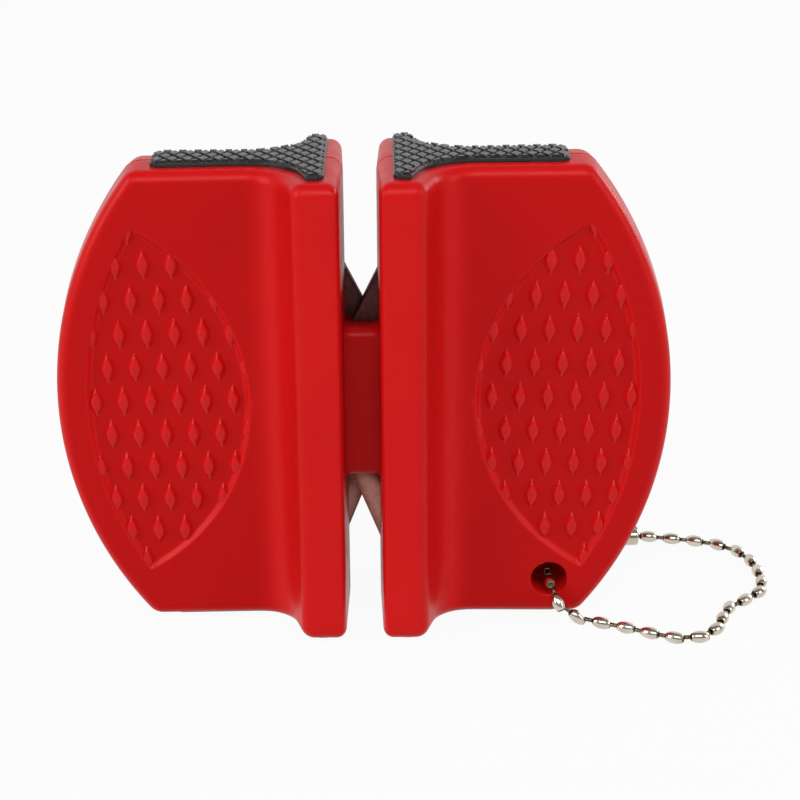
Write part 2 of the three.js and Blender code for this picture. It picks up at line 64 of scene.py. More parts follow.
# Grip recess and its studs
LENS_MARGIN = 3.6
LENS_INNER_X = 11.9
LENS_INNER_RADIUS = 21.7
RECESS = 0.6
STUD_PITCH_X = 2.9
STUD_PITCH_Z = 3.72
STUD_RISE = 0.35
STUD_WIDTH = 1.5
STUD_LENGTH = 3.3
STUD_HEIGHT = 0.5
STUD_EDGE = 0.8
STUD_CUT = 0.5
STUD_ROWS = 6  # above and below the middle
STUD_COLUMNS = 8

# Bridge in the slot, rods, pads and chain hole
WEB_HEIGHT = 16.3
WEB_FRONT = 4.6
WEB_ROUND = 1.0
CERAMIC_APEX = 12.25
CERAMIC_TILT = math.radians(21.5)
CERAMIC_DIAMETER = 2.6
CERAMIC_TAIL = 5.5
CERAMIC_BITE = 0.8
PAD_PROUD = 0.5
PAD_SUNK = 0.6
PAD_MARGIN = 1.8
PAD_SLOT_MARGIN = 1.7
PAD_END_MARGIN = 1.1
PAD_CORNER = 0.9
HOLE_INSET = 12.5
HOLE_RISE = 4.5
HOLE_DIAMETER = 3.9
HOLE_MOUTH = 0.2

# Chain and clasp
BEAD_DIAMETER = 1.32
BEAD_LENGTH = 1.95
BEAD_PITCH = 2.75
LINK_DIAMETER = 0.45
LYING_Z = 0.75
CLASP_WALL = 0.25
CLASP_PLAY = 0.2
CLASP_MOUTH = 0.8

# The chain's route: across and in depth from the hole, and the share of the climb up to it
CHAIN_ROUTE = [
    (9.4, 14.5, 0.106), (12.1, 14.6, 0.1), (14.7, 14.55, 0.05), (17.5, 14.3, 0),
    (20.2, 13.5, 0), (22.5, 12, 0), (24, 9.8, 0), (24.6, 7.1, 0), (24.7, 4.6, 0),
    (24.5, 2.3, 0), (23.6, 0.1, 0), (21.8, -1.5, 0), (19.9, -3.2, 0), (18.8, -5.6, 0),
    (17.7, -8.1, 0), (15.8, -9.8, 0), (13.3, -10.04, 0), (10.5, -8.9, 0), (7.7, -7.4, 0),
    (5, -6.3, 0.01), (3.2, -5.9, 0.08), (1.8, -5.75, 0.27), (0.75, -5.6, 0.55),
    (0.25, -5, 0.86), (0, -3.5, 1), (0, 0, 1), (0, 3.5, 1), (0.15, 5, 0.86),
    (0.3, 5.8, 0.55), (0.6, 6.8, 0.27), (1.2, 8.5, 0.08), (2.2, 10.8, 0.01),
    (4, 13.2, 0.06), (6.7, 14.35, 0.1),
]
HOLE_POINT = 25

# Places that follow from the sizes, with z from the middle of the shells
MID_Z = PAD_PROUD + SHELL_HEIGHT / 2
SLOT_X = SLOT_WIDTH / 2
BOW_X = WIDTH / 2 - SIDE_RADIUS
HOLE_X = WIDTH / 2 - HOLE_INSET
HOLE_Z = HOLE_RISE - SHELL_HEIGHT / 2
CORNER_Z = SHELL_HEIGHT / 2 - END_CORNER
CORNER_X = BOW_X + math.sqrt((SIDE_RADIUS - END_CORNER) ** 2 - CORNER_Z ** 2)
BOW_ANGLE = math.atan2(CORNER_Z, CORNER_X - BOW_X)
LENS_CENTRE_X = LENS_INNER_X + LENS_INNER_RADIUS

# Distances of the rows of points that keep a face flat beside a rounding
SUPPORT = 0.3
FACE_STEP = 0.15


# Camera at the photograph's angle

CAMERA_PLACE = Vector((2.251, -186.106, 95.905)) * MM
CAMERA_PITCH = math.radians(22.903)
CAMERA_YAW = math.radians(-2.067)
CAMERA_ROLL = math.radians(-1.378)
CAMERA_FOCUS = 2.323  # in image widths
CAMERA_SHIFT = (0.0966, 0.0779)  # the photograph is cropped off centre
SENSOR_WIDTH = 36


def make_camera():
    data = bpy.data.cameras.new("camera")
    camera = bpy.data.objects.new("camera", data)
    bpy.context.scene.collection.objects.link(camera)
    ahead = Vector((
        math.sin(CAMERA_YAW) * math.cos(CAMERA_PITCH),
        math.cos(CAMERA_YAW) * math.cos(CAMERA_PITCH),
        -math.sin(CAMERA_PITCH),
    ))
    right = Vector((math.cos(CAMERA_YAW), -math.sin(CAMERA_YAW), 0))
    up = right.cross(ahead)
    turn_right = right * math.cos(CAMERA_ROLL) + up * math.sin(CAMERA_ROLL)
    turn_up = up * math.cos(CAMERA_ROLL) - right * math.sin(CAMERA_ROLL)
    frame_matrix = Matrix((turn_right, turn_up, -ahead)).transposed().to_4x4()
    frame_matrix.translation = CAMERA_PLACE
    camera.matrix_world = frame_matrix
    data.sensor_width = SENSOR_WIDTH
    data.lens = SENSOR_WIDTH * CAMERA_FOCUS
    data.shift_x, data.shift_y = CAMERA_SHIFT
    data.clip_start = 0.01
    data.clip_end = 20
    bpy.context.scene.camera = camera


make_camera()


# Materials: each pair of tones is the darkest and the lightest colour of a finish, or of a tone
# that paints shade or bounce light

RED_POLISH = ((0.575, 0.0048, 0.0052), (0.615, 0.0062, 0.0066))
# Darker red of the wings' broad faces: painted shade, where the ribs shade the wings
RED_WING_SHADE = ((0.475, 0.0040, 0.0043), (0.510, 0.0050, 0.0054))
RUBBER_TONES = ((0.005, 0.0045, 0.0045), (0.014, 0.012, 0.012))
CARBIDE_TONES = ((0.060, 0.018, 0.017), (0.105, 0.042, 0.038))
# Red-brown tones of the ceramic rods: painted red bounce light and shade from the slot around
# them, on a pale ceramic
CERAMIC_PAINTED_BOUNCE_TONES = ((0.58, 0.33, 0.26), (0.74, 0.45, 0.36))
NICKEL_TONES = ((0.50, 0.44, 0.35), (0.72, 0.67, 0.58))
# Darker, browner metal at the bead ends and links: painted shade between the beads
BEAD_END_SHADE_TONES = ((0.10, 0.075, 0.05), (0.22, 0.17, 0.12))
WING_SHINE = 0.08
RED_HAZE = 0.07  # how much rougher the haziest spots are
METAL_HAZE = 0.14
BUMP_DISTANCE = 0.0001

# The painted shade of the wings covers what lies at less than this depth, in metres, and faces
# front or back
WING_DEPTH = (0.0062, 0.0045)
WING_FACING = (0.86, 0.999)


def new_material(name):
    material = bpy.data.materials.new(name)
    material.use_nodes = True
    tree = material.node_tree
    shader = tree.nodes["Principled BSDF"]
    place = tree.nodes.new("ShaderNodeTexCoord")
    return material, tree, shader, place.outputs["Object"]


def noise_node(tree, place, scale, detail, stretch=None):
    noise = tree.nodes.new("ShaderNodeTexNoise")
    noise.inputs["Scale"].default_value = scale
    noise.inputs["Detail"].default_value = detail
    if stretch:
        mapping = tree.nodes.new("ShaderNodeMapping")
        mapping.inputs["Scale"].default_value = stretch
        tree.links.new(place, mapping.inputs["Vector"])
        place = mapping.outputs["Vector"]
    tree.links.new(place, noise.inputs["Vector"])
    return noise.outputs["Fac"]


def ramp_node(tree, factor, tones, start=0.3, end=0.7):
    ramp = tree.nodes.new("ShaderNodeValToRGB")
    for element, position, tone in zip(ramp.color_ramp.elements, (start, end), tones):
        element.position = position
        element.color = (*tone, 1)
    tree.links.new(factor, ramp.inputs["Fac"])
    return ramp.outputs["Color"]


def range_node(tree, factor, low, high, start=0.3, end=0.7):
    span = tree.nodes.new("ShaderNodeMapRange")
    span.inputs["From Min"].default_value = start
    span.inputs["From Max"].default_value = end
    span.inputs["To Min"].default_value = low
    span.inputs["To Max"].default_value = high
    tree.links.new(factor, span.inputs["Value"])
    return span.outputs["Result"]


def bump_node(tree, shader, height, strength):
    bump = tree.nodes.new("ShaderNodeBump")
    bump.inputs["Strength"].default_value = strength
    bump.inputs["Distance"].default_value = BUMP_DISTANCE
    tree.links.new(height, bump.inputs["Height"])
    tree.links.new(bump.outputs["Normal"], shader.inputs["Normal"])


def depth_share(tree, vector, start, end):
    """Goes from 0 to 1 as the size of the vector's depth goes from start to end."""
    split = tree.nodes.new("ShaderNodeSeparateXYZ")
    tree.links.new(vector, split.inputs["Vector"])
    size = tree.nodes.new("ShaderNodeMath")
    size.operation = "ABSOLUTE"
    tree.links.new(split.outputs["Y"], size.inputs[0])
    return range_node(tree, size.outputs[0], 0, 1, start, end)


def wing_share(tree, place):
    """One on the broad faces of the wings, nothing on ribs and rounded edges."""
    low = depth_share(tree, place, *WING_DEPTH)
    facing = depth_share(tree, place.node.outputs["Normal"], *WING_FACING)
    both = tree.nodes.new("ShaderNodeMath")
    both.operation = "MULTIPLY"
    tree.links.new(low, both.inputs[0])
    tree.links.new(facing, both.inputs[1])
    return both.outputs[0]


def red_plastic(name, wing_shade_share, rough, shine):
    """Polished ribs and edges; the broad faces of the wings get darker tones as painted shade,
    where the ribs shade them, and a lower specular level.
    """
    material, tree, shader, place = new_material(name)
    # Painted shade: darker tones on the broad faces of the wings, which the ribs shade; the same
    # share lowers the specular level there
    wing_shade = range_node(tree, wing_share(tree, place), 0, wing_shade_share, 0, 1)
    clouds = noise_node(tree, place, scale=55, detail=3)
    mix = tree.nodes.new("ShaderNodeMix")
    mix.data_type = "RGBA"
    tree.links.new(wing_shade, mix.inputs["Factor"])
    # The node's colour sockets share their names with others, so they go by number
    tree.links.new(ramp_node(tree, clouds, RED_POLISH), mix.inputs[6])
    tree.links.new(ramp_node(tree, clouds, RED_WING_SHADE), mix.inputs[7])
    tree.links.new(mix.outputs[2], shader.inputs["Base Color"])
    haze = noise_node(tree, place, scale=420, detail=5)
    tree.links.new(range_node(tree, haze, rough, rough + RED_HAZE), shader.inputs["Roughness"])
    level = range_node(tree, wing_shade, shine, WING_SHINE, 0, 1)
    tree.links.new(level, shader.inputs["Specular IOR Level"])
    skin = noise_node(tree, place, scale=900, detail=2)
    bump_node(tree, shader, skin, strength=0.03)
    return material


def black_rubber():
    material, tree, shader, place = new_material("black_rubber")
    dust = noise_node(tree, place, scale=700, detail=6)
    colour = ramp_node(tree, dust, RUBBER_TONES, start=0.35, end=0.75)
    tree.links.new(colour, shader.inputs["Base Color"])
    tree.links.new(range_node(tree, dust, low=0.26, high=0.36), shader.inputs["Roughness"])
    shader.inputs["Specular IOR Level"].default_value = 0.5
    grain = noise_node(tree, place, scale=3000, detail=3)
    bump_node(tree, shader, grain, strength=0.25)
    return material


def dark_carbide():
    material, tree, shader, place = new_material("dark_carbide")
    grain = noise_node(tree, place, scale=2400, detail=6)
    tree.links.new(ramp_node(tree, grain, CARBIDE_TONES), shader.inputs["Base Color"])
    shader.inputs["Metallic"].default_value = 0.7
    lines = noise_node(tree, place, scale=900, detail=3, stretch=(1, 1, 12))
    tree.links.new(range_node(tree, lines, low=0.35, high=0.55), shader.inputs["Roughness"])
    bump_node(tree, shader, lines, strength=0.2)
    return material


def ceramic_painted_red_bounce():
    material, tree, shader, place = new_material("ceramic_painted_red_bounce")
    grain = noise_node(tree, place, scale=1600, detail=6)
    # The tones paint the red bounce light and shade of the slot onto the pale ceramic
    tree.links.new(ramp_node(tree, grain, CERAMIC_PAINTED_BOUNCE_TONES), shader.inputs["Base Color"])
    tree.links.new(range_node(tree, grain, low=0.5, high=0.7), shader.inputs["Roughness"])
    bump_node(tree, shader, grain, strength=0.25)
    return material


def chain_metal(name, tones, rough):
    material, tree, shader, place = new_material(name)
    stain = noise_node(tree, place, scale=500, detail=4)
    tree.links.new(ramp_node(tree, stain, tones), shader.inputs["Base Color"])
    shader.inputs["Metallic"].default_value = 1.0
    tree.links.new(range_node(tree, stain, rough, rough + METAL_HAZE), shader.inputs["Roughness"])
    scuff = noise_node(tree, place, scale=2500, detail=3)
    bump_node(tree, shader, scuff, strength=0.08)
    return material


# The wing shade share is how much of the painted wing shade each red takes
RED = red_plastic("red_plastic", wing_shade_share=1.0, rough=0.3, shine=0.13)
STUD_RED = red_plastic("red_stud_plastic", wing_shade_share=0.25, rough=0.13, shine=0.22)
BORE_RED = red_plastic("red_bore_plastic", wing_shade_share=1.0, rough=0.8, shine=0.02)
RUBBER = black_rubber()
CARBIDE = dark_carbide()
CERAMIC = ceramic_painted_red_bounce()
NICKEL = chain_metal("bright_nickel", NICKEL_TONES, rough=0.1)
# Darker metal that paints the shade between the beads
BEAD_END_SHADE = chain_metal("nickel_painted_shade", BEAD_END_SHADE_TONES, rough=0.2)

# Numbers of the shells' materials on their meshes
STUD_PAINT = 1
BORE_PAINT = 2


# Mesh helpers

ON_AXIS = 1e-6


def new_piece(name, build, materials, lift=0.0):
    mesh = bpy.data.meshes.new(name)
    build.transform(Matrix.Translation((0, 0, lift)))
    build.transform(Matrix.Scale(MM, 4))
    build.to_mesh(mesh)
    build.free()
    for material in materials:
        mesh.materials.append(material)
    piece = bpy.data.objects.new(name, mesh)
    bpy.context.scene.collection.objects.link(piece)
    return piece


def join(shell, build):
    """Moves one mesh under construction into another."""
    part = bpy.data.meshes.new("part")
    build.to_mesh(part)
    build.free()
    shell.from_mesh(part)
    bpy.data.meshes.remove(part)


def align_faces(build):
    """Turns all the faces of a mesh to the same side."""
    bmesh.ops.recalc_face_normals(build, faces=build.faces[:])


def arc_points(x, y, radius, start, end, steps):
    points = []
    for i in range(steps + 1):
        angle = start + (end - start) * i / steps
        points.append((x + radius * math.cos(angle), y + radius * math.sin(angle)))
    return points


def add_face(build, corners, flip=False):
    """A smooth face, on which a corner that is named twice counts once."""
    corners = list(dict.fromkeys(corners))
    build.faces.new(corners[::-1] if flip else corners).smooth = True


def loft(build, rings, closed=True, smooth=True, paint=0):
    """Joins each ring of vertices to the next one."""
    for ring_a, ring_b in zip(rings, rings[1:]):
        count = len(ring_a)
        for i in range(count if closed else count - 1):
            j = (i + 1) % count
            face = build.faces.new([ring_a[i], ring_a[j], ring_b[j], ring_b[i]])
            face.smooth = smooth
            face.material_index = paint


def cap_ends(build, slices):
    build.faces.new(slices[0])
    build.faces.new(slices[-1][::-1])


def lathe(build, profile, sides, turn, place, dark=()):
    """Turns a profile of radius and place along the axis; dark segments get material 1."""
    rings = []
    for radius, along in profile:
        ring = []
        for k in range(1 if radius < ON_AXIS else sides):
            angle = 2 * math.pi * k / sides
            point = Vector((radius * math.cos(angle), along, -radius * math.sin(angle)))
            ring.append(build.verts.new(place + turn @ point))
        rings.append(ring)
    for segment, (low, high) in enumerate(zip(rings, rings[1:])):
        for k in range(sides):
            j = (k + 1) % sides
            if len(low) == 1:
                corners = [low[0], high[j], high[k]]
            elif len(high) == 1:
                corners = [low[k], low[j], high[0]]
            else:
                corners = [low[k], low[j], high[j], high[k]]
            face = build.faces.new(corners)
            face.smooth = True
            face.material_index = int(segment in dark)


# Bead chain through its hole

CURVE_STEPS = 40  # between two points of the route
PATH_STEPS = 240
COLLAR_SHARE = 0.78  # radius of a bead's opening, in diameters of the link
DIMPLE = ((0, 0.12), (0.72, 0.1), (0.8, 0))  # share of the opening's radius, depth
BEAD_STEPS = 14
BEAD_SIDES = 24
DARK_STEPS = 4
LINK_BITE = 0.3
LINK_SIDES = 12
CLASP_EDGE = 0.3
CLASP_EDGE_STEPS = 6
CLASP_GAP = math.radians(17)  # to either side of the middle
CLASP_STEPS = 40

CLIMB = MID_Z + HOLE_Z - LYING_Z
ROUTE = [Vector((HOLE_X + x, y, LYING_Z + share * CLIMB)) for x, y, share in CHAIN_ROUTE]


def chain_curve():
    """Points of the centripetal spline through the closed route, close together."""
    count = len(ROUTE)
    points = []
    for i in range(count):
        p0, p1, p2, p3 = (ROUTE[(i + k - 1) % count] for k in range(4))
        t1 = (p1 - p0).length ** 0.5
        t2 = t1 + (p2 - p1).length ** 0.5
        t3 = t2 + (p3 - p2).length ** 0.5
        for k in range(CURVE_STEPS):
            t = t1 + (t2 - t1) * k / CURVE_STEPS
            a1 = p0 * ((t1 - t) / t1) + p1 * (t / t1)
            a2 = p1 * ((t2 - t) / (t2 - t1)) + p2 * ((t - t1) / (t2 - t1))
            a3 = p2 * ((t3 - t) / (t3 - t2)) + p3 * ((t - t2) / (t3 - t2))
            b1 = a1 * ((t2 - t) / t2) + a2 * (t / t2)
            b2 = a2 * ((t3 - t) / (t3 - t1)) + a3 * ((t - t1) / (t3 - t1))
            points.append(b1 * ((t2 - t) / (t2 - t1)) + b2 * ((t - t1) / (t2 - t1)))
    return points


CURVE = chain_curve()
LENGTHS = [0.0]
for first, second in zip(CURVE, CURVE[1:] + CURVE[:1]):
    LENGTHS.append(LENGTHS[-1] + (second - first).length)
CHAIN_LENGTH = LENGTHS[-1]
BEAD_COUNT = round(CHAIN_LENGTH / BEAD_PITCH)
PITCH = CHAIN_LENGTH / BEAD_COUNT


def chain_point(distance):
    distance %= CHAIN_LENGTH
    low, high = 0, len(CURVE)
    while high - low > 1:
        middle = (low + high) // 2
        if LENGTHS[middle] <= distance:
            low = middle
        else:
            high = middle
    part = (distance - LENGTHS[low]) / (LENGTHS[low + 1] - LENGTHS[low])
    return CURVE[low].lerp(CURVE[(low + 1) % len(CURVE)], part)


def turn_to(direction):
    return Vector((0, 1, 0)).rotation_difference(direction)


def bead_profile():
    """A barrel with a dimple at either end, where the link goes in."""
    collar = LINK_DIAMETER * COLLAR_SHARE
    start = math.asin(collar / (BEAD_DIAMETER / 2))
    barrel = []
    for k in range(BEAD_STEPS + 1):
        angle = start + (math.pi - 2 * start) * k / BEAD_STEPS
        along = -BEAD_LENGTH / 2 * math.cos(angle) / math.cos(start)
        barrel.append((BEAD_DIAMETER / 2 * math.sin(angle), along))
    tip = barrel[0][1]
    dimple = [(collar * share, tip + depth) for share, depth in DIMPLE]
    return dimple + barrel + [(radius, -along) for radius, along in reversed(dimple)]


def link_profile(reach):
    """A wire from one bead into the next, whose middles lie the reach apart."""
    radius = LINK_DIAMETER / 2
    near = BEAD_LENGTH / 2 - LINK_BITE
    far = reach - BEAD_LENGTH / 2 + LINK_BITE
    return [(0, near), (radius, near), (radius, far), (0, far)]


def make_chain():
    build = bmesh.new()
    bead = bead_profile()
    segments = len(bead) - 1
    # Bead ends and links get the darker metal as painted shade between the beads
    bead_ends = {*range(DARK_STEPS), *range(segments - DARK_STEPS, segments)}
    places = [chain_point((i + 0.5) * PITCH) for i in range(BEAD_COUNT)]
    for i, here in enumerate(places):
        last = i + 1 == BEAD_COUNT
        ahead = here - places[i - 1] if last else places[i + 1] - here
        turn = turn_to(ahead.normalized())
        lathe(build, bead, BEAD_SIDES, turn, here, bead_ends)
        if not last:
            wire = link_profile(ahead.length)
            lathe(build, wire, LINK_SIDES, turn, here, range(len(wire)))
    return new_piece("bead_chain", build, [NICKEL, BEAD_END_SHADE])


def make_clasp():
    """A sleeve around the two end beads, with drawn-in ends and a gap along it."""
    build = bmesh.new()
    inner = BEAD_DIAMETER / 2 + CLASP_PLAY
    outer = inner + CLASP_WALL - CLASP_EDGE
    mouth = CLASP_MOUTH / 2
    room = (PITCH + BEAD_LENGTH) / 2 + CLASP_PLAY
    end = room + CLASP_WALL
    section = [(mouth, -end)]
    section += arc_points(outer, CLASP_EDGE - end, CLASP_EDGE, -QUARTER, 0, CLASP_EDGE_STEPS)
    section += arc_points(outer, end - CLASP_EDGE, CLASP_EDGE, 0, QUARTER, CLASP_EDGE_STEPS)
    section += [(mouth, end), (mouth, room), (inner, room - CLASP_WALL)]
    section += [(inner, CLASP_WALL - room), (mouth, -room)]
    along = chain_point(0.5 * PITCH) - chain_point(-0.5 * PITCH)
    turn = turn_to(along.normalized())
    slices = []
    for k in range(CLASP_STEPS + 1):
        angle = QUARTER + CLASP_GAP + (2 * math.pi - 2 * CLASP_GAP) * k / CLASP_STEPS
        spoke = Vector((math.cos(angle), 0, math.sin(angle)))
        points = [spoke * radius + Vector((0, place, 0)) for radius, place in section]
        slices.append([build.verts.new(ROUTE[0] + turn @ point) for point in points])
    loft(build, slices)
    cap_ends(build, slices)
    align_faces(build)
    return new_piece("chain_clasp_sleeve", build, [NICKEL])


chain = make_chain()
clasp = make_clasp()
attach(chain, "chain")
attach(clasp, "clasp")
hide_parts(*[f"chain_bead_{i + 1:02d}" for i in range(BEAD_COUNT)])
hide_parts("chain_clasp")
hole_start = LENGTHS[HOLE_POINT * CURVE_STEPS]
for k in range(PATH_STEPS + 1):
    chain_point(hole_start - CHAIN_LENGTH * k / PATH_STEPS) * MM


# Outlines of the shell skins

LEAST_CROWN = 0.4
LEAST_SLOT_CORNER = 0.3
CROWN_STEPS = 10
FOOT_STEPS = 14
LENS_INNER_STEPS = 30
LENS_OUTER_STEPS = 26
SLOT_STEPS = 8
FLAT_COLUMNS = 25  # columns of the recess that end on the flat end of the shell
CORNER_STEPS = 8
SIDE_STEPS = 12
LIP = 0.3  # how far the recess's rounded lip reaches out
LIP_STEP = 0.12


def plan_profile(offset):
    """Half depth over x, moved inwards: rib, crown, flank, foot and tapered wing.

    Also gives the x of the points on its roundings, and of the middle of the foot's arc.
    """
    flank_sin, flank_cos = math.sin(FLANK_ANGLE), math.cos(FLANK_ANGLE)
    taper_sin, taper_cos = math.sin(TAPER), math.cos(TAPER)
    rib = DEPTH / 2 - offset
    flank_line = FLANK_X * flank_sin + (DEPTH / 2 + WAIST_DEPTH) / 2 * flank_cos - offset
    wing_line = WAIST_DEPTH * taper_cos - WAIST_X * taper_sin - offset
    crown = max(CROWN_RADIUS - offset, LEAST_CROWN)
    foot = FOOT_RADIUS + offset
    crown_y = rib - crown
    crown_x = (flank_line - crown - crown_y * flank_cos) / flank_sin
    foot_x = (flank_line + foot) * taper_cos - (wing_line + foot) * flank_cos
    foot_x /= math.sin(FLANK_ANGLE + TAPER)
    foot_y = (wing_line + foot + foot_x * taper_sin) / taper_cos
    crown_end = crown_x + crown * flank_sin
    foot_start = foot_x - foot * flank_sin
    foot_end = foot_x + foot * taper_sin

    def depth_at(x):
        if x <= crown_x:
            return rib
        if x <= crown_end:
            return crown_y + math.sqrt(crown ** 2 - (x - crown_x) ** 2)
        if x <= foot_start:
            return (flank_line - x * flank_sin) / flank_cos
        if x <= foot_end:
            return foot_y - math.sqrt(foot ** 2 - (x - foot_x) ** 2)
        return (wing_line + x * taper_sin) / taper_cos

    breaks = [crown_x - SUPPORT]
    for i in range(CROWN_STEPS + 1):
        breaks.append(crown_x + crown * math.sin(FLANK_ANGLE * i / CROWN_STEPS))
    for i in range(FOOT_STEPS):
        breaks.append(foot_x - foot * math.sin(FLANK_ANGLE * (1 - i / FOOT_STEPS)))
    return depth_at, breaks, foot_x


def lens_ring(offset):
    """Upper half of the lens outline from its inner side over the tip to its outer side."""
    outer = SIDE_RADIUS - LENS_MARGIN - offset
    inner = LENS_INNER_RADIUS - offset
    span = LENS_CENTRE_X - BOW_X
    tip_x = BOW_X + (outer ** 2 - inner ** 2 + span ** 2) / (2 * span)
    tip_z = math.sqrt(outer ** 2 - (tip_x - BOW_X) ** 2)
    outer_turn = math.atan2(tip_z, tip_x - BOW_X)
    inner_turn = math.atan2(tip_z, tip_x - LENS_CENTRE_X)
    points = arc_points(LENS_CENTRE_X, 0, inner, math.pi, inner_turn, LENS_INNER_STEPS)
    points += arc_points(BOW_X, 0, outer, outer_turn, 0, LENS_OUTER_STEPS)[1:]
    return points


face_depth, FACE_BREAKS, _ = plan_profile(0)
FACE_INSET = SIDE_DRAFT + EDGE_RADIUS + FACE_STEP
LENS_EDGE = lens_ring(-LIP - LIP_STEP)
LENS_COLUMNS = len(LENS_EDGE) - 1


def outline_stations():
    """Stations along the upper half of the outline: slot corner, end, outer corner and bow."""
    stations = [("slot", math.pi - QUARTER * i / SLOT_STEPS) for i in range(SLOT_STEPS + 1)]
    for i, x in enumerate(FACE_BREAKS):
        if x < LENS_EDGE[0][0] - FACE_STEP:
            stations.append(("plan", i))
    stations += [("flat", x) for x, z in LENS_EDGE[:FLAT_COLUMNS]]
    for i in range(CORNER_STEPS + 1):
        stations.append(("corner", QUARTER + (BOW_ANGLE - QUARTER) * i / CORNER_STEPS))
    last = math.acos((LENS_EDGE[-1][0] - BOW_X) / (SIDE_RADIUS - FACE_INSET))
    bows = LENS_COLUMNS - FLAT_COLUMNS - CORNER_STEPS
    for i in range(bows):
        stations.append(("bow", BOW_ANGLE + (last - BOW_ANGLE) * (i + 1) / bows))
    stations += [("bow", last * (1 - i / SIDE_STEPS)) for i in range(1, SIDE_STEPS + 1)]
    return stations


STATIONS = outline_stations()
LENS_START = next(i for i, (kind, value) in enumerate(STATIONS) if kind == "flat")


def outline_ring(inset, offset, level=None):
    """Upper half of the outline, moved inwards, at a level or on the section moved by offset."""
    depth_at, breaks, _ = plan_profile(offset)
    end_z = SHELL_HEIGHT / 2 - inset
    slot = max(SLOT_CORNER - inset, LEAST_SLOT_CORNER)
    slot_x = SLOT_X + min(inset, SIDE_DRAFT)
    slot_x += max(inset - SIDE_DRAFT, 0) * SLOT_EDGE / EDGE_RADIUS
    corner = END_CORNER - inset
    bow = SIDE_RADIUS - inset
    ring = []
    for kind, value in STATIONS:
        if kind == "slot":
            x = slot_x + slot + slot * math.cos(value)
            z = end_z - slot + slot * math.sin(value)
        elif kind == "plan":
            x, z = breaks[value], end_z
        elif kind == "flat":
            x, z = value, end_z
        elif kind == "corner":
            x = CORNER_X + corner * math.cos(value)
            z = CORNER_Z + corner * math.sin(value)
        else:
            x = BOW_X + bow * math.cos(value)
            z = bow * math.sin(value)
        y = -depth_at(x) if level is None else level
        ring.append(Vector((x, y, z)))
    return ring


# Wings of the shells

SEAM_LIP = ((0.3, 0), (0.06, 0.02), (0, 0.08), (0, 0.4))  # inset, distance from the seam
WALL_DRAFT = 0.97  # the wall ends at this share of the draft
WALL_EDGE = 1.2  # and at this many edge radii below the face
EDGE_STEPS = 8
LIP_RADIUS = 0.42
LIP_STEPS = 5
RECESS_ANGLE = math.radians(48)
RECESS_RUN = 0.22
RECESS_STEPS = 4
LEAF_STEPS = 6
LEAF_BELOW = 2.0
LEAF_ABOVE = 1.35
STUD_LEAN = 0.2
STUD_PROFILE = (  # share of the leaf's size, share of the stud's height
    (1.06, -0.06), (1.0, 0.05), (0.88, 0.34), (0.76, 0.6),
    (0.64, 0.78), (0.5, 0.9), (0.34, 0.96), (0.15, 1.0),
)
HOLE_ROOM = 2.9  # columns of faces this near the hole's middle make way for it
HOLE_SIDES = 40
MOUTH_STEPS = 6
BORE_START = 1.0


def full_ring(build, half, shared):
    """Vertices of a ring whose lower half mirrors the upper one, except the shared points."""
    upper = [build.verts.new(p) for p in half]
    lower = [build.verts.new((p.x, p.y, -p.z)) for p in reversed(half[shared])]
    return upper + lower


def opposite(ring, i):
    """The vertex of a ring of the outline that lies below its upper vertex i."""
    return ring[len(ring) - 1 - i]


def wall_rings(build):
    """The wall from the seam to the face: seam lip, draft and rounded edge."""
    halves = [outline_ring(inset, 0, -SEAM / 2 - away) for inset, away in SEAM_LIP]
    halves.append(outline_ring(SIDE_DRAFT * WALL_DRAFT, EDGE_RADIUS * WALL_EDGE))
    for k in range(EDGE_STEPS + 1):
        turn = QUARTER * k / EDGE_STEPS
        inset = SIDE_DRAFT + EDGE_RADIUS * (1 - math.cos(turn))
        halves.append(outline_ring(inset, EDGE_RADIUS * (1 - math.sin(turn))))
    halves.append(outline_ring(FACE_INSET, 0))
    rings = [full_ring(build, half, slice(-1)) for half in halves]
    loft(build, rings[::-1])
    return rings


def cap_columns(build, ring, left_out, flip):
    """Spans a ring of the outline from its upper to its lower half, but for some columns."""
    for i in range(len(STATIONS) - 1):
        if i not in left_out:
            corners = [ring[i], opposite(ring, i), opposite(ring, i + 1), ring[i + 1]]
            add_face(build, corners, flip)


def recess_section():
    """Lip, wall and floor of the grip recess: how far inside its outline, and how deep."""
    steps = [(-LIP - LIP_STEP, 0.0), (-LIP, 0.0)]
    for k in range(1, LIP_STEPS + 1):
        turn = RECESS_ANGLE * k / LIP_STEPS
        steps.append((-LIP + LIP_RADIUS * math.sin(turn), LIP_RADIUS * (1 - math.cos(turn))))
    offset, sink = steps[-1]
    offset, sink = offset + RECESS_RUN, sink + RECESS_RUN * math.tan(RECESS_ANGLE)
    steps.append((offset, sink))
    radius = (RECESS - sink) / (1 - math.cos(RECESS_ANGLE))
    for k in range(1, RECESS_STEPS + 1):
        turn = RECESS_ANGLE * (1 - k / RECESS_STEPS)
        run = radius * (math.sin(RECESS_ANGLE) - math.sin(turn))
        steps.append((offset + run, RECESS - radius * (1 - math.cos(turn))))
    steps.append((steps[-1][0] + FACE_STEP, RECESS))
    return steps


def add_recess(build):
    """The grip recess; gives the ring of its rim, where vertex -i lies below vertex i."""
    rings = []
    for offset, sink in recess_section():
        half = [Vector((x, -face_depth(x) + sink, z)) for x, z in lens_ring(offset)]
        rings.append(full_ring(build, half, slice(1, -1)))
    loft(build, rings[::-1])
    floor = rings[-1]
    for i in range(LENS_COLUMNS):
        add_face(build, [floor[i], floor[-i], floor[-i - 1], floor[i + 1]])
    return rings[0]


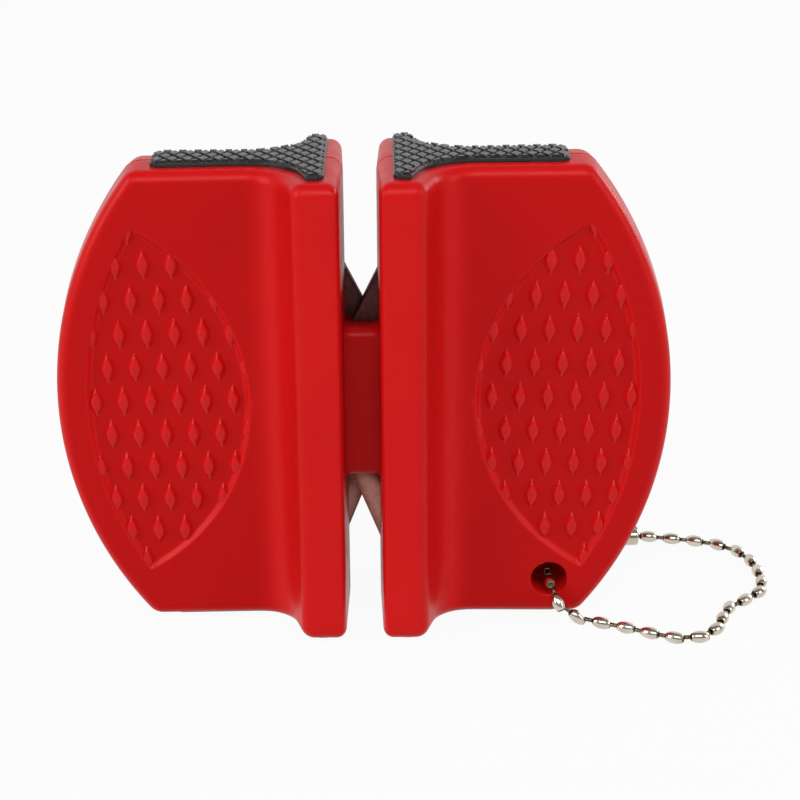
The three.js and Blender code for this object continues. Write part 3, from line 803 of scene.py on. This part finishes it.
def face_around_recess(build, edge, rim, left_out):
    """The face from the rounded edge to the recess, open in some of its lower columns."""
    for i in range(LENS_COLUMNS):
        near, far = LENS_START + i, LENS_START + i + 1
        add_face(build, [edge[near], rim[i], rim[i + 1], edge[far]])
        if i not in left_out:
            add_face(build, [opposite(edge, far), rim[-i - 1], rim[-i], opposite(edge, near)])
    tail = LENS_START + LENS_COLUMNS
    add_face(build, [edge[LENS_START], opposite(edge, LENS_START), rim[0]])
    add_face(build, [edge[tail], rim[LENS_COLUMNS], opposite(edge, tail)])


def leaf_outline():
    """A leaf with a pointed upper end, one unit in half width and half length."""
    right = []
    for i in range(2 * LEAF_STEPS + 1):
        along = i / LEAF_STEPS - 1
        right.append((1 - abs(along) ** (LEAF_BELOW if along < 0 else LEAF_ABOVE), along))
    return right + [(-x, z) for x, z in reversed(right[1:-1])]


def add_stud(build, leaf, x, z):
    floor = -face_depth(x) + RECESS
    rings = []
    for size, height in STUD_PROFILE:
        ring = []
        for leaf_x, leaf_z in leaf:
            stud_x = x + leaf_x * size * STUD_WIDTH / 2
            stud_z = z + (leaf_z * size + STUD_LEAN * (1 - size)) * STUD_LENGTH / 2
            ring.append(build.verts.new((stud_x, floor - height * STUD_HEIGHT, stud_z)))
        rings.append(ring)
    loft(build, rings, paint=STUD_PAINT)
    build.faces.new(rings[0][::-1])
    top = build.faces.new(rings[-1])
    top.smooth = True
    top.material_index = STUD_PAINT


def add_studs(build):
    """Rounded studs in staggered rows, steep at their upper ends and fading out below."""
    outer = SIDE_RADIUS - LENS_MARGIN + STUD_CUT
    inner = LENS_INNER_RADIUS + STUD_CUT
    first_x = BOW_X + SIDE_RADIUS - LENS_MARGIN - STUD_EDGE
    leaf = leaf_outline()
    for row in range(-STUD_ROWS, STUD_ROWS):
        z = STUD_RISE + row * STUD_PITCH_Z
        shift = STUD_PITCH_X / 2 if row % 2 else 0
        for column in range(STUD_COLUMNS):
            x = first_x - shift - column * STUD_PITCH_X
            if math.hypot(x - BOW_X, z) < outer and math.hypot(x - LENS_CENTRE_X, z) < inner:
                add_stud(build, leaf, x, z)


def columns_at_hole(places):
    """The columns between neighbouring places across that lie near the chain hole."""
    middles = [(a + b) / 2 for a, b in zip(places, places[1:])]
    return [i for i, middle in enumerate(middles) if abs(middle - HOLE_X) < HOLE_ROOM]


def loop_around(columns, row_a, row_b):
    """Pairs of vertices around some columns between two rows, each a function of the column."""
    pairs = []
    for i in columns:
        pairs += [(row_a(i), row_a(i + 1)), (row_b(i), row_b(i + 1))]
    for i in (columns[0], columns[-1] + 1):
        pairs.append((row_a(i), row_b(i)))
    return pairs


def fill_around(build, loop, ring, facing):
    """Fills the plane between a loop of vertex pairs and a ring of the hole inside it."""
    pairs = loop + list(zip(ring, ring[1:] + ring[:1]))
    edges = [build.edges.get(pair) for pair in pairs]
    made = bmesh.ops.triangle_fill(
        build, use_beauty=True, use_dissolve=False, edges=edges, normal=facing)
    for item in made["geom"]:
        if isinstance(item, bmesh.types.BMFace):
            item.smooth = True


def add_hole(build, face_loop, seam_loop):
    """The chain hole, joined to the loops that surround it on the face and on the seam."""
    radius = HOLE_DIAMETER / 2
    steps = [(radius + HOLE_MOUTH + FACE_STEP, 0.0), (radius + HOLE_MOUTH, 0.0)]
    for k in range(1, MOUTH_STEPS + 1):
        turn = QUARTER * k / MOUTH_STEPS
        size = radius + HOLE_MOUTH * (1 - math.sin(turn))
        steps.append((size, HOLE_MOUTH * (1 - math.cos(turn))))
    steps += [(radius, BORE_START), (radius, None)]  # None stands for the seam
    rings = []
    for size, sink in steps:
        ring = []
        for x, z in arc_points(HOLE_X, HOLE_Z, size, 0, 2 * math.pi, HOLE_SIDES)[:-1]:
            y = -SEAM / 2 if sink is None else -face_depth(x) + sink
            ring.append(build.verts.new((x, y, z)))
        rings.append(ring)
    loft(build, rings[:-2])
    loft(build, rings[-3:], paint=BORE_PAINT)
    fill_around(build, face_loop, rings[0], (0, -1, 0))
    fill_around(build, seam_loop, rings[-1], (0, 1, 0))


def wing_skin(with_hole):
    """Right half of the front shell: wall, face, recess and studs, with or without the hole."""
    build = bmesh.new()
    rings = wall_rings(build)
    back, edge = rings[0], rings[-1]
    seam_columns, face_columns = [], []
    if with_hole:
        seam_columns = columns_at_hole([vert.co.x for vert in back[:len(STATIONS)]])
        face_columns = columns_at_hole([x for x, z in LENS_EDGE])
    cap_columns(build, back, seam_columns, flip=True)
    cap_columns(build, edge, range(LENS_START, LENS_START + LENS_COLUMNS), flip=False)
    rim = add_recess(build)
    face_around_recess(build, edge, rim, face_columns)
    if with_hole:
        face_loop = loop_around(
            face_columns, lambda i: opposite(edge, LENS_START + i), lambda i: rim[-i])
        seam_loop = loop_around(seam_columns, lambda i: back[i], lambda i: opposite(back, i))
        add_hole(build, face_loop, seam_loop)
    add_studs(build)
    return build


# Bridge and whole shells

WEB_FILLET = 0.8
WEB_BITE = 1.0
WEB_ROUND_STEPS = 10
WEB_FILLET_STEPS = 8


def web_skin():
    """The bridge across the slot, with rounded front edges and fillets where it meets the ribs."""
    build = bmesh.new()
    half = WEB_HEIGHT / 2
    low_y, low_z = WEB_ROUND - WEB_FRONT, half - WEB_ROUND
    profile = [(-SEAM / 2, half), (low_y + SUPPORT, half)]
    profile += arc_points(low_y, low_z, WEB_ROUND, QUARTER, math.pi, WEB_ROUND_STEPS)
    profile.append((-WEB_FRONT, low_z - SUPPORT))
    profile += [(y, -z) for y, z in reversed(profile)]
    start = SLOT_X + SIDE_DRAFT / 2 - WEB_FILLET
    flare = arc_points(start, WEB_FILLET, WEB_FILLET, -QUARTER, 0, WEB_FILLET_STEPS)
    flare.append((SLOT_X + WEB_BITE, WEB_FILLET))
    flare = [(-x, growth) for x, growth in reversed(flare)] + flare
    slices = []
    for x, growth in flare:
        points = [(x, y, z + math.copysign(growth, z)) for y, z in profile]
        slices.append([build.verts.new(point) for point in points])
    loft(build, slices)
    cap_ends(build, slices)
    return build


def make_shell(name, node, face):
    """Face is -1 for the front shell and 1 for the rear one."""
    shell = bmesh.new()
    for side in (-1, 1):
        wing = wing_skin(side > 0)
        wing.transform(Matrix.Diagonal((side, -face, 1, 1)))
        if side * -face < 0:
            bmesh.ops.reverse_faces(wing, faces=wing.faces[:])
        join(shell, wing)
    web = web_skin()
    web.transform(Matrix.Diagonal((1, -face, 1, 1)))
    align_faces(web)
    for item in web.faces:
        item.smooth = len(item.verts) == 4
    join(shell, web)
    piece = new_piece(name, shell, [RED, STUD_RED, BORE_RED], MID_Z)
    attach(piece, "sharpener")
    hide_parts(node)


make_shell("front_shell_skin", "front_shell", -1)
make_shell("rear_shell_skin", "rear_shell", 1)


# Rubber pads with a diamond knurl

KNURL_ACROSS = 1.58
KNURL_ALONG = 2.5
KNURL_GROOVE = 0.16
KNURL_SLOPE = 0.07
KNURL_DEPTH = 0.24
KNURL_RIM = 0.14
LOWER_RIM = 0.8
PAD_EDGE = 0.1
PAD_EDGE_STEPS = 4
PAD_BEVEL = 0.04
PAD_CORNER_STEPS = 6
CUT_TOUCH = 1e-5
ROOF_TOUCH = 1e-4


def pad_outline(inset):
    depth_at, breaks, foot_x = plan_profile(PAD_MARGIN + inset)
    near = SLOT_X + PAD_SLOT_MARGIN + inset
    far = CORNER_X - PAD_END_MARGIN - inset
    corner = PAD_CORNER - inset
    steps = PAD_CORNER_STEPS
    side = arc_points(near + corner, depth_at(near) - corner, corner, math.pi, QUARTER, steps)
    side += [(x, depth_at(x)) for x in breaks[1:] + [foot_x + SUPPORT]]
    side += arc_points(far - corner, depth_at(far) - corner, corner, QUARTER, 0, steps)
    return side + [(x, -y) for x, y in reversed(side)]


def cut_knurl(build, height):
    """Cuts the pad along two families of grooves and raises its roof between them."""
    side = math.hypot(KNURL_ACROSS, KNURL_ALONG)
    pitch = KNURL_ACROSS * KNURL_ALONG / side
    normals = [Vector((KNURL_ALONG, turn * KNURL_ACROSS, 0)) / side for turn in (1, -1)]
    reach = KNURL_GROOVE + KNURL_SLOPE
    for normal in normals:
        places = [normal.dot(v.co) / pitch for v in build.verts]
        for k in range(math.floor(min(places)), math.ceil(max(places)) + 1):
            for step in (-reach, -KNURL_GROOVE, KNURL_GROOVE, reach):
                bmesh.ops.bisect_plane(
                    build, geom=build.verts[:] + build.edges[:] + build.faces[:], dist=CUT_TOUCH,
                    plane_co=normal * (k * pitch + step), plane_no=normal)
    for vert in build.verts:
        if vert.co.z < height - ROOF_TOUCH:
            continue
        shares = []
        for normal in normals:
            place = normal.dot(vert.co) / pitch
            shares.append((abs(place - round(place)) * pitch - KNURL_GROOVE) / KNURL_SLOPE)
        vert.co.z += KNURL_DEPTH * min(max(min(shares), 0), 1)


def pad_block(rim):
    """A pad lying on its bed, with a knurl that starts the rim's width from its edge."""
    build = bmesh.new()
    roof = PAD_SUNK + PAD_PROUD - KNURL_DEPTH
    steps = [(0.0, 0.0)]
    for k in range(PAD_EDGE_STEPS + 1):
        turn = QUARTER * k / PAD_EDGE_STEPS
        height = roof - PAD_BEVEL - PAD_EDGE * (1 - math.sin(turn))
        steps.append((PAD_EDGE * (1 - math.cos(turn)), height))
    steps.append((rim, roof))
    rings = []
    for inset, height in steps:
        rings.append([build.verts.new((x, y, height)) for x, y in pad_outline(inset)])
    loft(build, rings, smooth=False)
    build.faces.new(rings[0])
    build.faces.new(rings[-1])
    cut_knurl(build, roof)
    build.transform(Matrix.Translation((0, 0, SHELL_HEIGHT / 2 - PAD_SUNK)))
    return build


def make_pad(name, node, block, side, end):
    build = block.copy()
    build.transform(Matrix.Diagonal((side, 1, end, 1)))
    align_faces(build)
    piece = new_piece(name, build, [RUBBER], MID_Z)
    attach(piece, "sharpener")
    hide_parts(node)


for place, end, rim in (("top", 1, KNURL_RIM), ("bottom", -1, LOWER_RIM)):
    block = pad_block(rim)
    for word, side in (("left", -1), ("right", 1)):
        make_pad(f"{word}_{place}_knurled_pad", f"{word}_{place}_pad", block, side, end)
    block.free()


# Ceramic rods and carbide blades

ROD_CHAMFER = 0.25
ROD_SIDES = 48


def make_rod(name, node, side):
    build = bmesh.new()
    radius = CERAMIC_DIAMETER / 2
    low = -(SLOT_X + CERAMIC_BITE) / math.sin(CERAMIC_TILT)
    high = CERAMIC_TAIL
    flat = radius - ROD_CHAMFER
    profile = [(0, low), (flat, low), (radius, low + ROD_CHAMFER), (radius, low + 2 * ROD_CHAMFER)]
    profile += [(radius, high - 2 * ROD_CHAMFER), (radius, high - ROD_CHAMFER), (flat, high)]
    profile.append((0, high))
    lathe(build, profile, ROD_SIDES, Quaternion(), Vector((radius, 0, radius)))
    build.transform(Matrix.Rotation(CERAMIC_TILT, 4, "Z"))
    build.transform(Matrix.Rotation(QUARTER, 4, "X"))
    build.transform(Matrix.Translation((0, -SEAM, -CERAMIC_APEX)))
    build.transform(Matrix.Diagonal((side, side, 1, 1)))
    align_faces(build)
    piece = new_piece(name, build, [CERAMIC], MID_Z)
    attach(piece, "sharpener")
    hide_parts(node)


make_rod("left_rod", "left_ceramic_rod", -1)
make_rod("right_rod", "right_ceramic_rod", 1)
for node in ("left_carbide_blade", "right_carbide_blade"):
    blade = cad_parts[node]
    blade.data.materials.clear()
    blade.data.materials.append(CARBIDE)


# Floor, backdrop and lights, in metres and watts

FLOOR_REACH = 6
FLOOR_BACK = 0.6
COVE_RADIUS = 0.5
COVE_STEPS = 12
BACKDROP_HEIGHT = 2.5
FLOOR_TONES = ((0.64, 0.64, 0.64), (0.67, 0.67, 0.67))
FLOOR_WHITE = 0.94
ROOM_LIGHT = 0.27
LIGHT_TARGET = Vector((0, 0, 0.02))
LIGHTS = (  # name, place, size, power
    ("left_box", (-0.65, -0.28, 0.35), (0.35, 0.5), 2.6),
    ("right_box", (0.65, -0.28, 0.32), (0.35, 0.5), 1.25),
    ("rear_box", (0.58, 0.42, 0.22), (0.3, 0.3), 1.6),
    ("front_box", (0, -0.55, 0.55), (0.6, 0.3), 2.85),
)


def whiten(tree, shader, share):
    """Turns a surface towards white where it is seen directly, mirrored or through glass."""
    path = tree.nodes.new("ShaderNodeLightPath")
    seen = path.outputs["Is Camera Ray"]
    for word in ("Is Glossy Ray", "Is Transmission Ray"):
        either = tree.nodes.new("ShaderNodeMath")
        either.operation = "MAXIMUM"
        tree.links.new(seen, either.inputs[0])
        tree.links.new(path.outputs[word], either.inputs[1])
        seen = either.outputs[0]
    white = tree.nodes.new("ShaderNodeEmission")
    white.inputs["Color"].default_value = (1, 1, 1, 1)
    white.inputs["Strength"].default_value = 1.0
    veil = tree.nodes.new("ShaderNodeMixShader")
    veil.inputs["Fac"].default_value = share
    tree.links.new(shader.outputs[0], veil.inputs[1])
    tree.links.new(white.outputs[0], veil.inputs[2])
    pick = tree.nodes.new("ShaderNodeMixShader")
    tree.links.new(seen, pick.inputs["Fac"])
    tree.links.new(shader.outputs[0], pick.inputs[1])
    tree.links.new(veil.outputs[0], pick.inputs[2])
    tree.links.new(pick.outputs[0], tree.nodes["Material Output"].inputs["Surface"])


def pale_floor():
    material, tree, shader, place = new_material("pale_floor")
    tone = noise_node(tree, place, scale=3, detail=2)
    tree.links.new(ramp_node(tree, tone, FLOOR_TONES), shader.inputs["Base Color"])
    shader.inputs["Roughness"].default_value = 0.9
    whiten(tree, shader, FLOOR_WHITE)
    return material


def make_floor():
    """A floor that turns up into a backdrop behind the object."""
    build = bmesh.new()
    rows = [(-FLOOR_REACH, 0)]
    rows += arc_points(FLOOR_BACK, COVE_RADIUS, COVE_RADIUS, -QUARTER, 0, COVE_STEPS)
    rows.append((FLOOR_BACK + COVE_RADIUS, BACKDROP_HEIGHT))
    strips = []
    for x in (-FLOOR_REACH, FLOOR_REACH):
        strips.append([build.verts.new((x, y, z)) for y, z in rows])
    loft(build, strips, closed=False)
    align_faces(build)
    mesh = bpy.data.meshes.new("floor")
    build.to_mesh(mesh)
    build.free()
    mesh.materials.append(pale_floor())
    floor = bpy.data.objects.new("floor", mesh)
    bpy.context.scene.collection.objects.link(floor)


def make_light(name, place, size, power):
    data = bpy.data.lights.new(name, "AREA")
    data.shape = "RECTANGLE"
    data.size, data.size_y = size
    data.energy = power
    light = bpy.data.objects.new(name, data)
    bpy.context.scene.collection.objects.link(light)
    light.location = place
    light.rotation_mode = "QUATERNION"
    light.rotation_quaternion = (LIGHT_TARGET - Vector(place)).to_track_quat("-Z", "Y")


def make_world():
    world = bpy.data.worlds.new("studio")
    bpy.context.scene.world = world
    world.use_nodes = True
    room = world.node_tree.nodes["Background"]
    room.inputs["Color"].default_value = (1, 1, 1, 1)
    room.inputs["Strength"].default_value = ROOM_LIGHT


make_floor()
for light in LIGHTS:
    make_light(*light)
make_world()
bpy.context.scene.view_settings.view_transform = "Standard"
